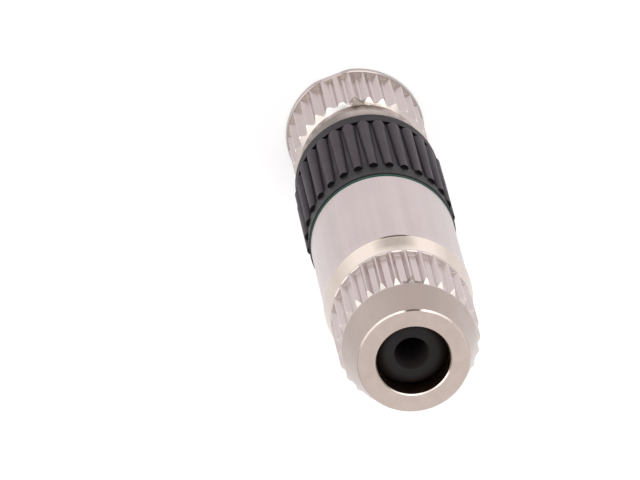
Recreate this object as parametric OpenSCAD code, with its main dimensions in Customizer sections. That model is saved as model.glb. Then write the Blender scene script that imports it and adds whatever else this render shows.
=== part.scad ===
// Circular sensor connector, cable socket, straight, for wiring by hand.
// The mating face is at z = 0 and the cable entry is at the top. Millimetres.

/* [Coupling nut] */
// Diameter of the plain flange at the mating rim
nut_flange_d = 11.8; // [11.7:0.05:12.4]
// Thickness of the flange
nut_flange_t = 0.6; // [0.4:0.1:1]
// Depth of the flat milled on one side of the nut
nut_flat_depth = 0.22; // [0.1:0.02:0.3]
// Number of flutes round the nut
nut_flute_count = 30; // [24:1:31]
// Width of the flat floor of a flute
nut_floor_w = 0.24; // [0.16:0.02:0.28]
// Angle between the sides of a flute and its middle plane
nut_flute_angle = 51; // [46:1:52]
// Depth of a flute
nut_flute_depth = 0.36; // [0.3:0.01:0.38]
// Diameter over the ridges between the flutes
nut_ridge_d = 11.6; // [11.5:0.02:11.7]
// Length from the rim to the end of the ridges
nut_ridge_end = 6.23; // [5.4:0.1:7.4]
// Diameter of the plain neck behind the ridges
nut_neck_d = 10.56; // [10.4:0.02:10.6]
// Bore of the mating thread, measured over its crests
nut_thread_d = 6.92; // [6.8:0.02:7.1]
// Length of the mating thread from the rim
nut_thread_l = 5; // [4.5:0.1:5.4]
// Width of the chamfer at the thread's mouth
nut_mouth = 0.6; // [0.3:0.05:0.9]
// Diameter of the relief behind the thread
nut_relief_d = 8.2; // [7.4:0.1:9]

/* [Contact insert] */
// Distance from the nut's rim back to the nose of the insert
nose_recess = 0.5; // [0.3:0.1:1]
// Diameter of the nose
nose_d = 5.7; // [5.5:0.05:5.8]
// Length of the nose
nose_l = 4.5; // [4:0.1:5]
// Diameter of the shank inside the sleeve
shank_d = 4.72; // [4.6:0.02:4.9]
// Length of the shank
shank_l = 12; // [11:0.5:13]
// Width of the keyway in the nose
key_w = 0.9; // [0.6:0.1:1.2]
// Depth of the keyway
key_depth = 0.4; // [0.2:0.05:0.5]
// Number of contacts
contact_count = 4; // [4]
// Radius of the circle that the contacts stand on
contact_circle_r = 1.45; // [1.4:0.01:1.48]
// Diameter of a contact's barrel
contact_d = 1.4; // [1.2:0.05:1.45]
// Diameter of the pin that a contact takes
contact_pin_d = 1; // [0.8:0.05:1]
// Length of a solder cup
cup_l = 3; // [2:0.5:4]
// Section diameter of the sealing ring round the nose
nose_seal_d = 0.5; // [0.3:0.05:0.56]

/* [Carrier sleeve] */
// Diameter of the sleeve's front tube, which the coupling nut turns on
tube_d = 6.1; // [6:0.05:6.3]
// Thickness of the clip that holds the coupling nut
clip_t = 0.6; // [0.4:0.05:0.8]
// Height of the clip's section
clip_h = 0.64; // [0.5:0.02:0.7]
// Distance from the tube's front end to the clip's groove
clip_setback = 0.5; // [0.4:0.05:0.8]
// Diameter of the flange that carries the grip ring
seat_d = 10.6; // [10.4:0.05:10.7]
// Thickness of that flange
seat_t = 1; // [0.8:0.1:1.5]
// Distance across the flange's two flats
seat_flats = 9.7; // [9.6:0.05:9.9]
// Diameter of the rear thread, which the housing screws onto
spigot_d = 9.8; // [9.4:0.05:9.85]
// Length of the rear thread inside the housing
spigot_reach = 6.4; // [5:0.2:8]
// Wall of the sleeve round the wiring space
spigot_wall = 0.8; // [0.6:0.05:1]
// Wall of the insulating sleeve
liner_wall = 0.5; // [0.3:0.05:0.8]

/* [Grip ring] */
// Length of plain neck that shows between the ridges and the grip ring
neck_show = 3.54; // [3:0.02:4]
// Length of the grip ring
ring_l = 11.83; // [11:0.01:13]
// Diameter over the lip at the front
ring_lip_d = 12.2; // [12.1:0.02:12.5]
// Length of the lip
ring_lip_l = 1.34; // [0.8:0.02:1.6]
// Diameter over the ribs
ring_rib_d = 12.58; // [12.4:0.02:12.7]
// Diameter between the ribs
ring_floor_d = 11.7; // [11.6:0.02:11.8]
// Diameter of the rear collar where the ribs end
ring_waist_d = 12; // [11.9:0.02:12.1]
// Diameter of the rear collar at its flared end
ring_collar_d = 12.26; // [12.1:0.02:12.4]
// Length of the plain collar at the rear
ring_collar_l = 1.83; // [1:0.1:3]
// Number of ribs
rib_count = 29; // [24:1:30]
// Width of a half-round rib at its domed front end
rib_front_w = 1.2; // [1.1:0.02:1.22]
// Width of a rib at its rear end, narrower so that the mould draws off
rib_back_w = 0.8; // [0.7:0.02:0.9]
// Depth of the pocket that takes the coupling nut's neck
pocket_depth = 2.83; // [2:0.01:3.4]
// Thickness of the flat seal between ring and housing
gasket_t = 0.18; // [0.15:0.01:0.4]
// Distance that the rim of that seal stands out from the housing
gasket_stand = 0.05; // [0:0.01:0.1]

/* [Housing] */
// Diameter of the housing
housing_d = 12; // [11.9:0.05:12.1]
// Length of the smooth part
housing_l = 10.52; // [9.6:0.1:16]
// Diameter of the rear thread, which takes the clamp nut
gland_d = 9.1; // [8.8:0.05:9.2]
// Length of that thread
gland_l = 8.4; // [7.6:0.1:8.8]
// Diameter of the wiring space in the housing
chamber_d = 9; // [8.6:0.05:9.4]
// Length of the wiring space past the end of the sleeve
chamber_l = 2.4; // [1.5:0.1:2.6]
// Diameter of the cable hole in the housing's inner wall
web_hole_d = 4.8; // [4.4:0.1:5.2]
// Thickness of that wall
web_t = 1.4; // [1:0.1:2]
// Diameter of the socket for the cable seal
socket_d = 7.4; // [7.2:0.05:7.6]
// Depth of that socket
socket_depth = 4.2; // [3.5:0.1:4.6]
// Thickness of the shield ring
shield_t = 1.05; // [0.8:0.05:1.5]
// Thickness of the washer under the cable seal
washer_t = 0.5; // [0.3:0.05:0.8]

/* [Clamp nut] */
// Length of the clamp nut
clamp_l = 11.7; // [11.2:0.05:12.2]
// Diameter of its flange
flange_d = 12.2; // [12:0.02:12.4]
// Length of the straight part of the flange
flange_l = 1.07; // [0.6:0.05:1.4]
// Length of the flange's sloping shoulder
flange_slope_l = 2; // [1.4:0.05:2.4]
// Width of the plain land between the shoulder and the flutes
land_w = 0.24; // [0.1:0.02:0.5]
// Diameter over the ridges between the flutes
clamp_ridge_d = 11.66; // [11.5:0.02:11.8]
// Number of flutes round the nut
clamp_flute_count = 29; // [24:1:30]
// Width of the flat floor of a flute
clamp_floor_w = 0.52; // [0.44:0.02:0.58]
// Angle between the sides of a flute and its middle plane
clamp_flute_angle = 38; // [30:1:40]
// Depth of a flute
clamp_flute_depth = 0.42; // [0.36:0.01:0.44]
// Length of the flutes
clamp_flute_l = 5.4; // [5:0.1:5.6]
// Diameter of the cone-shaped collar next to the flutes
collar_d = 11; // [10.96:0.02:11.1]
// Diameter of the end face
end_face_d = 8.92; // [8.6:0.02:9.2]
// Diameter of the cable entry
entry_d = 6; // [5.6:0.1:6.4]
// Chamfer at the mouth of the cable entry
entry_chamfer = 0.22; // [0.1:0.02:0.3]
// Length of the cable entry, from the end face to the inner cone that squeezes the seal
lip_t = 2; // [1.6:0.05:2.2]
// Diameter of the hole in the cable seal
seal_hole_d = 2.8; // [2:0.1:4]
// Diameter of the flat rear face of the cable seal
seal_face_d = 4.9; // [4.6:0.05:5.4]

/* [Clearances] */
// Radial gap of a screw thread or a turning fit
thread_gap = 0.08; // [0.04:0.01:0.1]
// Radial gap of a piece that is pushed into its seat
push_gap = 0.02; // [0.01:0.005:0.03]
// Gap between faces that part when something is unscrewed
parting_gap = 0.05; // [0.02:0.01:0.08]
// End play of the coupling nut
end_play = 0.1; // [0.05:0.01:0.2]
// Size of the small chamfers on turned edges
edge = 0.12; // [0.05:0.01:0.15]

/* [Hidden] */
$fn = 96;

// Directions about the axis, in degrees, of the first ridge or rib of each pattern and of the flat
nut_ridge_from = -92.7;
clamp_ridge_from = -89;
rib_from = -94;
nut_flat_at = -66.5;
key_at = 90;
contact_from = 45;

// Small overlap that joins or cuts cleanly
bite = 0.2;

// Thickness of the stop collar on a contact, and of the free space past the end of a thread
contact_collar_t = 0.5;
contact_collar_h = 0.22;
thread_relief = 0.4;
// Length of the socket that a pin enters, and of the slits that make it springy
pin_depth = 5.5;
slit_l = 4;
slit_w = 0.2;
// Thickness of the front wall of the insert, which stops the contacts
front_wall = 0.7;
// Width of the straight band on the clamp nut's collar, and the part of it that the flutes cut into
collar_band = 0.14;
flute_runout = 0.07;
// Length of the chamfer at the rear end of the ridges on the clamp nut
ridge_chamfer_l = 0.55;
// Lead-in at the front edge of the insert's nose
nose_lead = 0.3;

// Heights along the axis, from the mating rim to the cable entry
sleeve_front_z = nose_recess + nose_l;
clip_z = sleeve_front_z + clip_setback;
nut_shoulder_z = clip_z + clip_t + end_play;
ring_front_z = nut_ridge_end + neck_show;
seat_z = ring_front_z + pocket_depth;
nut_back_z = seat_z - end_play;
ring_bed_z = seat_z + seat_t;
ring_back_z = ring_front_z + ring_l;
housing_front_z = ring_back_z + gasket_t + parting_gap;
spigot_end_z = housing_front_z + spigot_reach;
insert_back_z = sleeve_front_z + shank_l;
cup_collar_z = insert_back_z + contact_collar_t;
cup_end_z = cup_collar_z + cup_l;
housing_end_z = housing_front_z + housing_l;
gland_end_z = housing_end_z + gland_l;
chamber_front_z = spigot_end_z + thread_relief;
chamber_end_z = chamber_front_z + chamber_l;
socket_z = gland_end_z - socket_depth;
web_z = socket_z - web_t;
clamp_front_z = housing_end_z + parting_gap;
clamp_end_z = clamp_front_z + clamp_l;
flange_end_z = clamp_front_z + flange_l;
land_z = flange_end_z + flange_slope_l;
clamp_flute_z = land_z + land_w;
clamp_ridge_end_z = clamp_flute_z + clamp_flute_l;
lip_z = clamp_end_z - lip_t;
clamp_thread_end_z = gland_end_z + thread_relief;
seal_front_z = socket_z + washer_t + parting_gap;

// Radii worked out from the diameters and the clearances
tube_r = tube_d / 2;
tube_bore_r = shank_d / 2 + push_gap;
spigot_r = spigot_d / 2;
spigot_bore_r = spigot_r - spigot_wall;
liner_r = spigot_bore_r - push_gap;
gland_r = gland_d / 2;
socket_r = socket_d / 2;
contact_r = contact_d / 2;
clip_r = tube_r - clip_h / 2;
seal_r = socket_r - thread_gap;

// Rise of the clamp nut's inner cone for each millimetre of radius, which the seal's rear end follows
cone_rise = (lip_z - clamp_thread_end_z) / (socket_r - entry_d / 2);
seal_end_z = clamp_thread_end_z + (seal_r - seal_face_d / 2) * cone_rise;

nickel = [0.80, 0.76, 0.74];
gold = [0.83, 0.66, 0.32];
black_plastic = [0.27, 0.25, 0.27];
natural_plastic = [0.88, 0.86, 0.80];
black_rubber = [0.13, 0.13, 0.13];
green_rubber = [0.16, 0.38, 0.30];

// A solid of revolution about the axis, from [radius, height] points
module turned(points) {
  rotate_extrude() polygon(points);
}

// A tube from one height to another
module tube(outer_r, inner_r, from, to) {
  turned([[inner_r, from], [outer_r, from], [outer_r, to], [inner_r, to]]);
}

// Cuts flutes with a flat floor and sloping sides into its child and leaves a ridge at the angle first
module fluted(count, ridge_r, depth, floor_w, side_angle, from, to, first) {
  floor_r = ridge_r - depth;
  open_r = ridge_r + bite;
  open_w = floor_w + 2 * (open_r - floor_r) * tan(side_angle);
  difference() {
    children();
    for (i = [0 : count - 1])
      rotate(first + (i + 0.5) * 360 / count)
        translate([0, 0, from])
          linear_extrude(to - from)
            polygon([
              [floor_r, -floor_w / 2], [open_r, -open_w / 2],
              [open_r, open_w / 2], [floor_r, floor_w / 2]
            ]);
  }
}

// Nickel-plated nut that screws onto the mating thread, fluted for the fingers
module coupling_nut() {
  flange_r = nut_flange_d / 2;
  ridge_r = nut_ridge_d / 2;
  neck_r = nut_neck_d / 2;
  thread_r = nut_thread_d / 2;
  relief_r = nut_relief_d / 2;
  turning_r = tube_r + thread_gap;
  mouth_r = thread_r + nut_mouth;
  color(nickel)
    difference() {
      fluted(
        nut_flute_count, ridge_r, nut_flute_depth, nut_floor_w, nut_flute_angle,
        nut_flange_t, nut_ridge_end + bite, nut_ridge_from
      )
        turned([
          [0, 0], [flange_r - edge, 0], [flange_r, edge], [flange_r, nut_flange_t + ridge_r - flange_r],
          [ridge_r, nut_flange_t], [ridge_r, nut_ridge_end + neck_r - ridge_r], [neck_r, nut_ridge_end],
          [neck_r, nut_back_z - edge], [neck_r - edge, nut_back_z], [0, nut_back_z]
        ]);
      turned([
        [0, -bite], [mouth_r + bite, -bite], [thread_r, nut_mouth],
        [thread_r, nut_thread_l], [relief_r, nut_thread_l], [relief_r, nut_shoulder_z],
        [turning_r, nut_shoulder_z], [turning_r, nut_back_z + bite], [0, nut_back_z + bite]
      ]);
      rotate(nut_flat_at)
        translate([flange_r - nut_flat_depth, -flange_r, -bite])
          cube([flange_r, nut_flange_d, nut_ridge_end + bite]);
    }
}

// Open spring clip in the sleeve's groove, which the coupling nut pulls against
module retaining_clip() {
  gap_w = clip_r;
  color(nickel)
    difference() {
      tube(clip_r + clip_h, clip_r + push_gap, clip_z, clip_z + clip_t);
      translate([0, -gap_w / 2, clip_z - bite])
        cube([tube_d, gap_w, clip_t + 2 * bite]);
    }
}

// Rubber ring at the root of the nose, which the mating shell presses on
module nose_seal() {
  section_r = nose_seal_d / 2;
  color(black_rubber)
    translate([0, 0, sleeve_front_z - section_r])
      rotate_extrude()
        translate([nose_d / 2 + section_r + push_gap, 0])
          circle(section_r, $fn = 32);
}

// Places its children on the circle of contacts
module at_contact(index) {
  rotate(contact_from + index * 360 / contact_count)
    translate([contact_circle_r, 0, 0])
      children();
}

// Moulded insert with the keyed nose and a cavity for each contact
module contact_insert() {
  nose_r = nose_d / 2;
  shank_r = shank_d / 2;
  cavity_z = nose_recess + front_wall;
  color(black_plastic)
    difference() {
      turned([
        [0, nose_recess], [nose_r - nose_lead, nose_recess], [nose_r, nose_recess + nose_lead],
        [nose_r, sleeve_front_z], [shank_r, sleeve_front_z], [shank_r, insert_back_z], [0, insert_back_z]
      ]);
      for (i = [0 : contact_count - 1])
        at_contact(i) {
          translate([0, 0, cavity_z])
            cylinder(r = contact_r + push_gap, h = insert_back_z - cavity_z + bite, $fn = 48);
          translate([0, 0, nose_recess - bite])
            cylinder(d = contact_pin_d + 2 * thread_gap, h = front_wall + 2 * bite, $fn = 48);
          translate([0, 0, nose_recess - bite])
            cylinder(
              d1 = contact_pin_d + 4 * bite, d2 = contact_pin_d + 2 * thread_gap,
              h = 2 * bite, $fn = 48
            );
        }
      rotate(key_at)
        translate([nose_r - key_depth, -key_w / 2, nose_recess - bite])
          cube([nose_r, key_w, nose_l - nose_seal_d]);
    }
}

// Turned socket contact: slit barrel in front, stop collar and open solder cup behind
module contact(index) {
  front_z = nose_recess + front_wall;
  collar_r = contact_r + contact_collar_h;
  cup_r = contact_r;
  cup_bore_r = contact_pin_d / 2;
  color(gold)
    at_contact(index)
      difference() {
        turned([
          [0, front_z], [contact_r - edge, front_z], [contact_r, front_z + edge],
          [contact_r, insert_back_z], [collar_r, insert_back_z], [collar_r, cup_collar_z],
          [cup_r, cup_collar_z], [cup_r, cup_end_z], [0, cup_end_z]
        ]);
        translate([0, 0, front_z - bite])
          cylinder(d = contact_pin_d, h = pin_depth + bite, $fn = 48);
        for (turn = [0, 90])
          rotate(turn)
            translate([-contact_d, -slit_w / 2, front_z - bite])
              cube([2 * contact_d, slit_w, slit_l + bite]);
        translate([0, 0, cup_collar_z + bite])
          cylinder(r = cup_bore_r, h = cup_l, $fn = 48);
        translate([cup_bore_r / 2, -contact_d, cup_collar_z + cup_l / 3])
          cube([contact_d, 2 * contact_d, cup_l]);
      }
}

// Turned sleeve that carries everything: front tube, keyed flange and rear thread
module carrier_sleeve() {
  seat_r = seat_d / 2;
  color(nickel)
    difference() {
      union() {
        turned([
          [0, sleeve_front_z], [tube_r, sleeve_front_z], [tube_r, clip_z - push_gap],
          [clip_r, clip_z - push_gap], [clip_r, clip_z + clip_t + push_gap],
          [tube_r, clip_z + clip_t + push_gap], [tube_r, seat_z + bite], [0, seat_z + bite]
        ]);
        intersection() {
          tube(seat_r, 0, seat_z, ring_bed_z);
          translate([-seat_d, -seat_flats / 2, seat_z])
            cube([2 * seat_d, seat_flats, seat_t]);
        }
        turned([
          [0, ring_bed_z - bite], [spigot_r, ring_bed_z - bite], [spigot_r, spigot_end_z - 2 * edge],
          [spigot_r - 2 * edge, spigot_end_z], [0, spigot_end_z]
        ]);
      }
      turned([
        [0, sleeve_front_z - bite], [tube_bore_r, sleeve_front_z - bite], [tube_bore_r, insert_back_z],
        [spigot_bore_r, insert_back_z], [spigot_bore_r, spigot_end_z + bite], [0, spigot_end_z + bite]
      ]);
    }
}

// Plastic liner that keeps the soldered cores off the metal
module insulating_sleeve() {
  color(natural_plastic)
    tube(liner_r, liner_r - liner_wall, insert_back_z, spigot_end_z);
}

// A rib as a round bar with a domed front end, which tapers towards the rear
module rib(front_r, back_r, length) {
  rotate_extrude($fn = 48) {
    intersection() {
      circle(front_r, $fn = 48);
      translate([0, -front_r]) square(front_r);
    }
    polygon([[0, 0], [front_r, 0], [back_r, length], [0, length]]);
  }
}

// Moulded ribbed ring, held between the sleeve's flange and the housing
module grip_ring() {
  lip_r = ring_lip_d / 2;
  floor_r = ring_floor_d / 2;
  waist_r = ring_waist_d / 2;
  collar_r = ring_collar_d / 2;
  pocket_r = nut_neck_d / 2 + thread_gap;
  bore_r = spigot_r + push_gap;
  lip_end_z = ring_front_z + ring_lip_l;
  rib_z = lip_end_z - edge;
  rib_end_z = ring_back_z - ring_collar_l;
  waist_z = rib_end_z - edge;
  dome_r = rib_front_w / 2;
  rib_l = rib_end_z - rib_z - dome_r;
  rib_tilt = atan((rib_front_w - rib_back_w) / 2 / rib_l);
  color(black_plastic)
    difference() {
      union() {
        turned([
          [0, ring_front_z], [lip_r - edge, ring_front_z], [lip_r, ring_front_z + edge],
          [lip_r, lip_end_z], [floor_r, lip_end_z], [floor_r, waist_z],
          [waist_r, waist_z], [collar_r, ring_back_z - edge], [collar_r - edge / 2, ring_back_z],
          [0, ring_back_z]
        ]);
        for (i = [0 : rib_count - 1])
          rotate(rib_from + i * 360 / rib_count)
            translate([ring_rib_d / 2 - dome_r, 0, rib_z + dome_r])
              rotate([0, rib_tilt, 0])
                rib(dome_r, rib_back_w / 2, rib_l);
      }
      tube(pocket_r, 0, ring_front_z - bite, seat_z);
      intersection() {
        tube(seat_d / 2 + push_gap, 0, seat_z - bite, ring_bed_z);
        translate([-seat_d, -seat_flats / 2 - push_gap, seat_z - bite])
          cube([2 * seat_d, seat_flats + 2 * push_gap, seat_t + bite]);
      }
      tube(bore_r, 0, ring_bed_z - bite, ring_back_z + bite);
    }
}

// Flat seal that the housing presses against the grip ring
module gasket() {
  color(green_rubber)
    tube(housing_d / 2 + gasket_stand, spigot_r + push_gap, ring_back_z, ring_back_z + gasket_t);
}

// Smooth turned housing with a thread for the clamp nut behind it
module housing() {
  housing_r = housing_d / 2;
  thread_r = spigot_r + thread_gap;
  chamber_r = chamber_d / 2;
  web_r = web_hole_d / 2;
  funnel_l = chamber_r - socket_r;
  color(nickel)
    difference() {
      turned([
        [0, housing_front_z], [housing_r - edge / 2, housing_front_z],
        [housing_r, housing_front_z + edge / 2],
        [housing_r, housing_end_z - edge], [housing_r - edge, housing_end_z], [gland_r, housing_end_z],
        [gland_r, gland_end_z - 2 * edge], [gland_r - 2 * edge, gland_end_z], [0, gland_end_z]
      ]);
      turned([
        [0, housing_front_z - bite], [thread_r, housing_front_z - bite], [thread_r, chamber_front_z],
        [chamber_r, chamber_front_z], [chamber_r, chamber_end_z - funnel_l], [socket_r, chamber_end_z],
        [socket_r, web_z], [web_r, web_z], [web_r, socket_z], [socket_r, socket_z],
        [socket_r, gland_end_z + bite], [0, gland_end_z + bite]
      ]);
    }
}

// Ring that presses the cable's braid against the housing
module shield_ring() {
  ring_r = seal_r;
  hole_r = web_hole_d / 2;
  mouth_r = hole_r + shield_t / 2;
  back_z = web_z - parting_gap;
  front_z = back_z - shield_t;
  color(nickel)
    turned([
      [mouth_r, front_z], [ring_r - edge, front_z], [ring_r, front_z + edge],
      [ring_r, back_z - edge], [ring_r - edge, back_z], [hole_r, back_z], [hole_r, front_z + shield_t / 2]
    ]);
}

// Washer that the cable seal slides on while it is squeezed
module seal_washer() {
  color(natural_plastic)
    tube(socket_r - push_gap, web_hole_d / 2, socket_z, socket_z + washer_t);
}

// Rubber bush that the clamp nut squeezes onto the cable
module cable_seal() {
  hole_r = seal_hole_d / 2;
  face_r = seal_face_d / 2;
  taper = 5 * edge;
  color(black_rubber)
    turned([
      [hole_r, seal_front_z], [seal_r - taper, seal_front_z], [seal_r, seal_front_z + taper],
      [seal_r, clamp_thread_end_z], [face_r, seal_end_z], [hole_r + edge, seal_end_z],
      [hole_r, seal_end_z - edge]
    ]);
}

// Nickel-plated nut that squeezes the cable seal, fluted like the coupling nut, with a sloping flange
module clamp_nut() {
  flange_r = flange_d / 2;
  ridge_r = clamp_ridge_d / 2;
  collar_r = collar_d / 2;
  face_r = end_face_d / 2;
  entry_r = entry_d / 2;
  thread_r = gland_r + thread_gap;
  collar_z = clamp_ridge_end_z + collar_band;
  color(nickel)
    difference() {
      fluted(
        clamp_flute_count, ridge_r, clamp_flute_depth, clamp_floor_w, clamp_flute_angle,
        clamp_flute_z, clamp_ridge_end_z + flute_runout, clamp_ridge_from
      )
        turned([
          [0, clamp_front_z], [flange_r - edge, clamp_front_z], [flange_r, clamp_front_z + edge],
          [flange_r, flange_end_z], [ridge_r, land_z],
          [ridge_r, clamp_ridge_end_z - ridge_chamfer_l], [collar_r, clamp_ridge_end_z],
          [collar_r, collar_z], [face_r + edge, clamp_end_z - edge], [face_r, clamp_end_z],
          [0, clamp_end_z]
        ]);
      turned([
        [0, clamp_front_z - bite], [thread_r, clamp_front_z - bite], [thread_r, clamp_thread_end_z],
        [socket_r, clamp_thread_end_z], [entry_r, lip_z], [entry_r, clamp_end_z - entry_chamfer],
        [entry_r + entry_chamfer + bite, clamp_end_z + bite], [0, clamp_end_z + bite]
      ]);
    }
}

coupling_nut();
retaining_clip();
nose_seal();
contact_insert();
contact(0);  // contact_1
contact(1);  // contact_2
contact(2);  // contact_3
contact(3);  // contact_4
carrier_sleeve();
insulating_sleeve();
grip_ring();
gasket();
housing();
shield_ring();
seal_washer();
cable_seal();
clamp_nut();
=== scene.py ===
"""Circular sensor connector: the looks of every piece, in the order in which it is put together.

Pieces are drawn in millimetres and brought to metres when they are finished. Angles round the axis are in
degrees, and the side that faces the camera is at -90.
"""

import math

import bpy
from mathutils import Matrix, Vector


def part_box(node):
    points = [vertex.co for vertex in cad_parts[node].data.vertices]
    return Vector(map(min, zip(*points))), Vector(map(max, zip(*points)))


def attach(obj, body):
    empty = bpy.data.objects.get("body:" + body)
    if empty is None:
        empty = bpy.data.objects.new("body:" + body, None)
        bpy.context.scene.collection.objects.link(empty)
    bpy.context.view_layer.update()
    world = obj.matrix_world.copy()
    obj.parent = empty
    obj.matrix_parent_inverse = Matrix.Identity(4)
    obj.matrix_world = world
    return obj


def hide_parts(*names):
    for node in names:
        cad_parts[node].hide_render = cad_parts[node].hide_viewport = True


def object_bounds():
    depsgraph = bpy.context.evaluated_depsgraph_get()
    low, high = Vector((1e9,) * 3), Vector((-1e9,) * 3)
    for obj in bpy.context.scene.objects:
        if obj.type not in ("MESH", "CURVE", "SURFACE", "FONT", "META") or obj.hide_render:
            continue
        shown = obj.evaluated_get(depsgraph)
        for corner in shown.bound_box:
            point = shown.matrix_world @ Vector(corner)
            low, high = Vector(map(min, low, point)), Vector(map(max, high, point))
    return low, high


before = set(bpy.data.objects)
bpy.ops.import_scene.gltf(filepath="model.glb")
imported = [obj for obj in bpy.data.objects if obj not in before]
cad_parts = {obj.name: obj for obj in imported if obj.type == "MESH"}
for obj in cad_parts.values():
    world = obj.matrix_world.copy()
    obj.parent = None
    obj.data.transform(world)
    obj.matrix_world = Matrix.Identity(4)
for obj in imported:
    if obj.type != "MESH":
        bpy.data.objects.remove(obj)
cad_low, cad_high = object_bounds()


# Carrier sleeve
# A turned brass sleeve, nickel-plated. Its front tube holds the insert and carries the coupling nut.
# The grip ring is keyed onto its flange, and the housing screws onto the thread at its rear.
MM = 0.001


def reach(node):
    """Lowest height, highest height and outer radius of a node, in millimetres."""
    low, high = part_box(node)
    return low.z / MM, high.z / MM, high.x / MM


def only(piece):
    """Makes a piece the only one that operators act on."""
    bpy.ops.object.select_all(action="DESELECT")
    piece.select_set(True)
    bpy.context.view_layer.objects.active = piece


SAME_POINT = 1e-4
ROUND_STEPS = 192


def outlined(name, points):
    """A closed line through (x, y, z) points as a new piece, left in edit mode with all of it selected."""
    bpy.ops.object.select_all(action="DESELECT")
    bpy.ops.mesh.primitive_plane_add(size=1)
    piece = bpy.context.object
    piece.name = name
    bpy.ops.object.mode_set(mode="EDIT")
    bpy.ops.mesh.merge(type="CENTER")
    bpy.ops.transform.translate(value=points[0])
    for start, end in zip(points, points[1:] + points[:1]):
        on_axis = not (start[0] or end[0])
        if not on_axis:
            bpy.ops.mesh.extrude_vertices_move(TRANSFORM_OT_translate={"value": Vector(end) - Vector(start)})
    bpy.ops.mesh.select_all(action="SELECT")
    bpy.ops.mesh.remove_doubles(threshold=SAME_POINT)
    return piece


def turned(name, outline, steps=ROUND_STEPS):
    """A piece turned on the lathe, from (radius, height) points that close up or end on the axis."""
    piece = outlined(name, [(radius, 0, height) for radius, height in outline])
    bpy.ops.mesh.spin(steps=steps, angle=math.tau, center=(0, 0, 0), axis=(0, 0, 1))
    bpy.ops.mesh.select_all(action="SELECT")
    bpy.ops.mesh.remove_doubles(threshold=SAME_POINT)
    bpy.ops.mesh.normals_make_consistent(inside=False)
    bpy.ops.object.mode_set(mode="OBJECT")
    return piece


def applied(piece, kind, **settings):
    """Adds a modifier with these settings to a piece and applies it."""
    only(piece)
    change = piece.modifiers.new(kind.lower(), kind)
    for key, value in settings.items():
        setattr(change, key, value)
    bpy.ops.object.modifier_apply(modifier=change.name)


def combine(piece, tool, operation):
    """Cuts a tool out of a piece, or joins it to the piece."""
    applied(piece, "BOOLEAN", object=tool, operation=operation, solver="EXACT")
    bpy.data.objects.remove(tool)


FLAT_CUTTER = 6.0
FLAT_OVERRUN = 0.2


def mill_flat(piece, angle, distance, low, high):
    """Mills a flat into a round piece, at an angle and a distance from the axis, between two heights."""
    bpy.ops.object.select_all(action="DESELECT")
    bpy.ops.mesh.primitive_cube_add(size=1)
    cutter = bpy.context.object
    turn = math.radians(angle)
    middle = distance + FLAT_CUTTER / 2
    cutter.scale = (FLAT_CUTTER, 2 * FLAT_CUTTER, high - low + 2 * FLAT_OVERRUN)
    cutter.rotation_euler.z = turn
    cutter.location = (middle * math.cos(turn), middle * math.sin(turn), (low + high) / 2)
    bpy.ops.object.transform_apply(location=True, rotation=True, scale=True)
    combine(piece, cutter, "DIFFERENCE")


SHARP_ANGLE = 25.0
BREAK_STEPS = 2


def break_edges(piece, width):
    """Rounds the sharp edges of a piece a little."""
    applied(
        piece, "BEVEL", width=width, segments=BREAK_STEPS, limit_method="ANGLE",
        angle_limit=math.radians(SHARP_ANGLE), use_clamp_overlap=True,
    )


SCREW_PITCH = 0.75
THREAD_STEPS = 72
THREAD_FLANK = 30.0
THREAD_DEPTH = 0.54  # share of the pitch
THREAD_ROOT = 0.25  # share of the pitch
THREAD_OVERCUT = 0.04
THREAD_LAND = 0.3
THREAD_LEAD = 0.8
THREAD_RUNOUT = 0.2


def cut_thread(piece, crest_r, pitch, low, high, phase=0.0, inside=False):
    """Cuts a right-hand thread into a round face, from one height to another."""
    way = 1 if inside else -1
    root_r = crest_r + way * THREAD_DEPTH * pitch
    open_r = crest_r - way * THREAD_OVERCUT
    root_half = THREAD_ROOT * pitch / 2
    open_half = root_half + abs(open_r - root_r) * math.tan(math.radians(THREAD_FLANK))
    start = low + (phase - low) % pitch - pitch
    turns = math.ceil((high - start) / pitch)
    tool = outlined("thread_tool", [
        (open_r, 0, start - open_half), (open_r, 0, start + open_half),
        (root_r, 0, start + root_half), (root_r, 0, start - root_half),
    ])
    bpy.ops.object.mode_set(mode="OBJECT")
    applied(
        tool, "SCREW", axis="Z", angle=math.tau, screw_offset=pitch, iterations=turns,
        steps=THREAD_STEPS, render_steps=THREAD_STEPS, use_normal_calculate=True,
    )
    bpy.ops.object.mode_set(mode="EDIT")
    bpy.ops.mesh.select_all(action="DESELECT")
    bpy.ops.mesh.select_non_manifold()
    bpy.ops.mesh.fill_holes(sides=0)
    bpy.ops.mesh.select_all(action="SELECT")
    bpy.ops.mesh.normals_make_consistent(inside=False)
    bpy.ops.object.mode_set(mode="OBJECT")
    combine(piece, tool, "DIFFERENCE")


sleeve_front, sleeve_back, seat_r = reach("carrier_sleeve")
clip_front, clip_back, _ = reach("retaining_clip")
_, insert_back, _ = reach("contact_insert")
ring_front, ring_back, _ = reach("grip_ring")
TUBE_R = 3.05
TUBE_BORE_R = 2.38
CLIP_GROOVE_R = 2.73
CLIP_PLAY = 0.02
SPIGOT_R = 4.9
SPIGOT_BORE_R = 4.1
SEAT_FRONT = 12.6
SEAT_T = 1.0
SEAT_FLATS = 9.7
END_CHAMFER = 0.24

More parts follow.
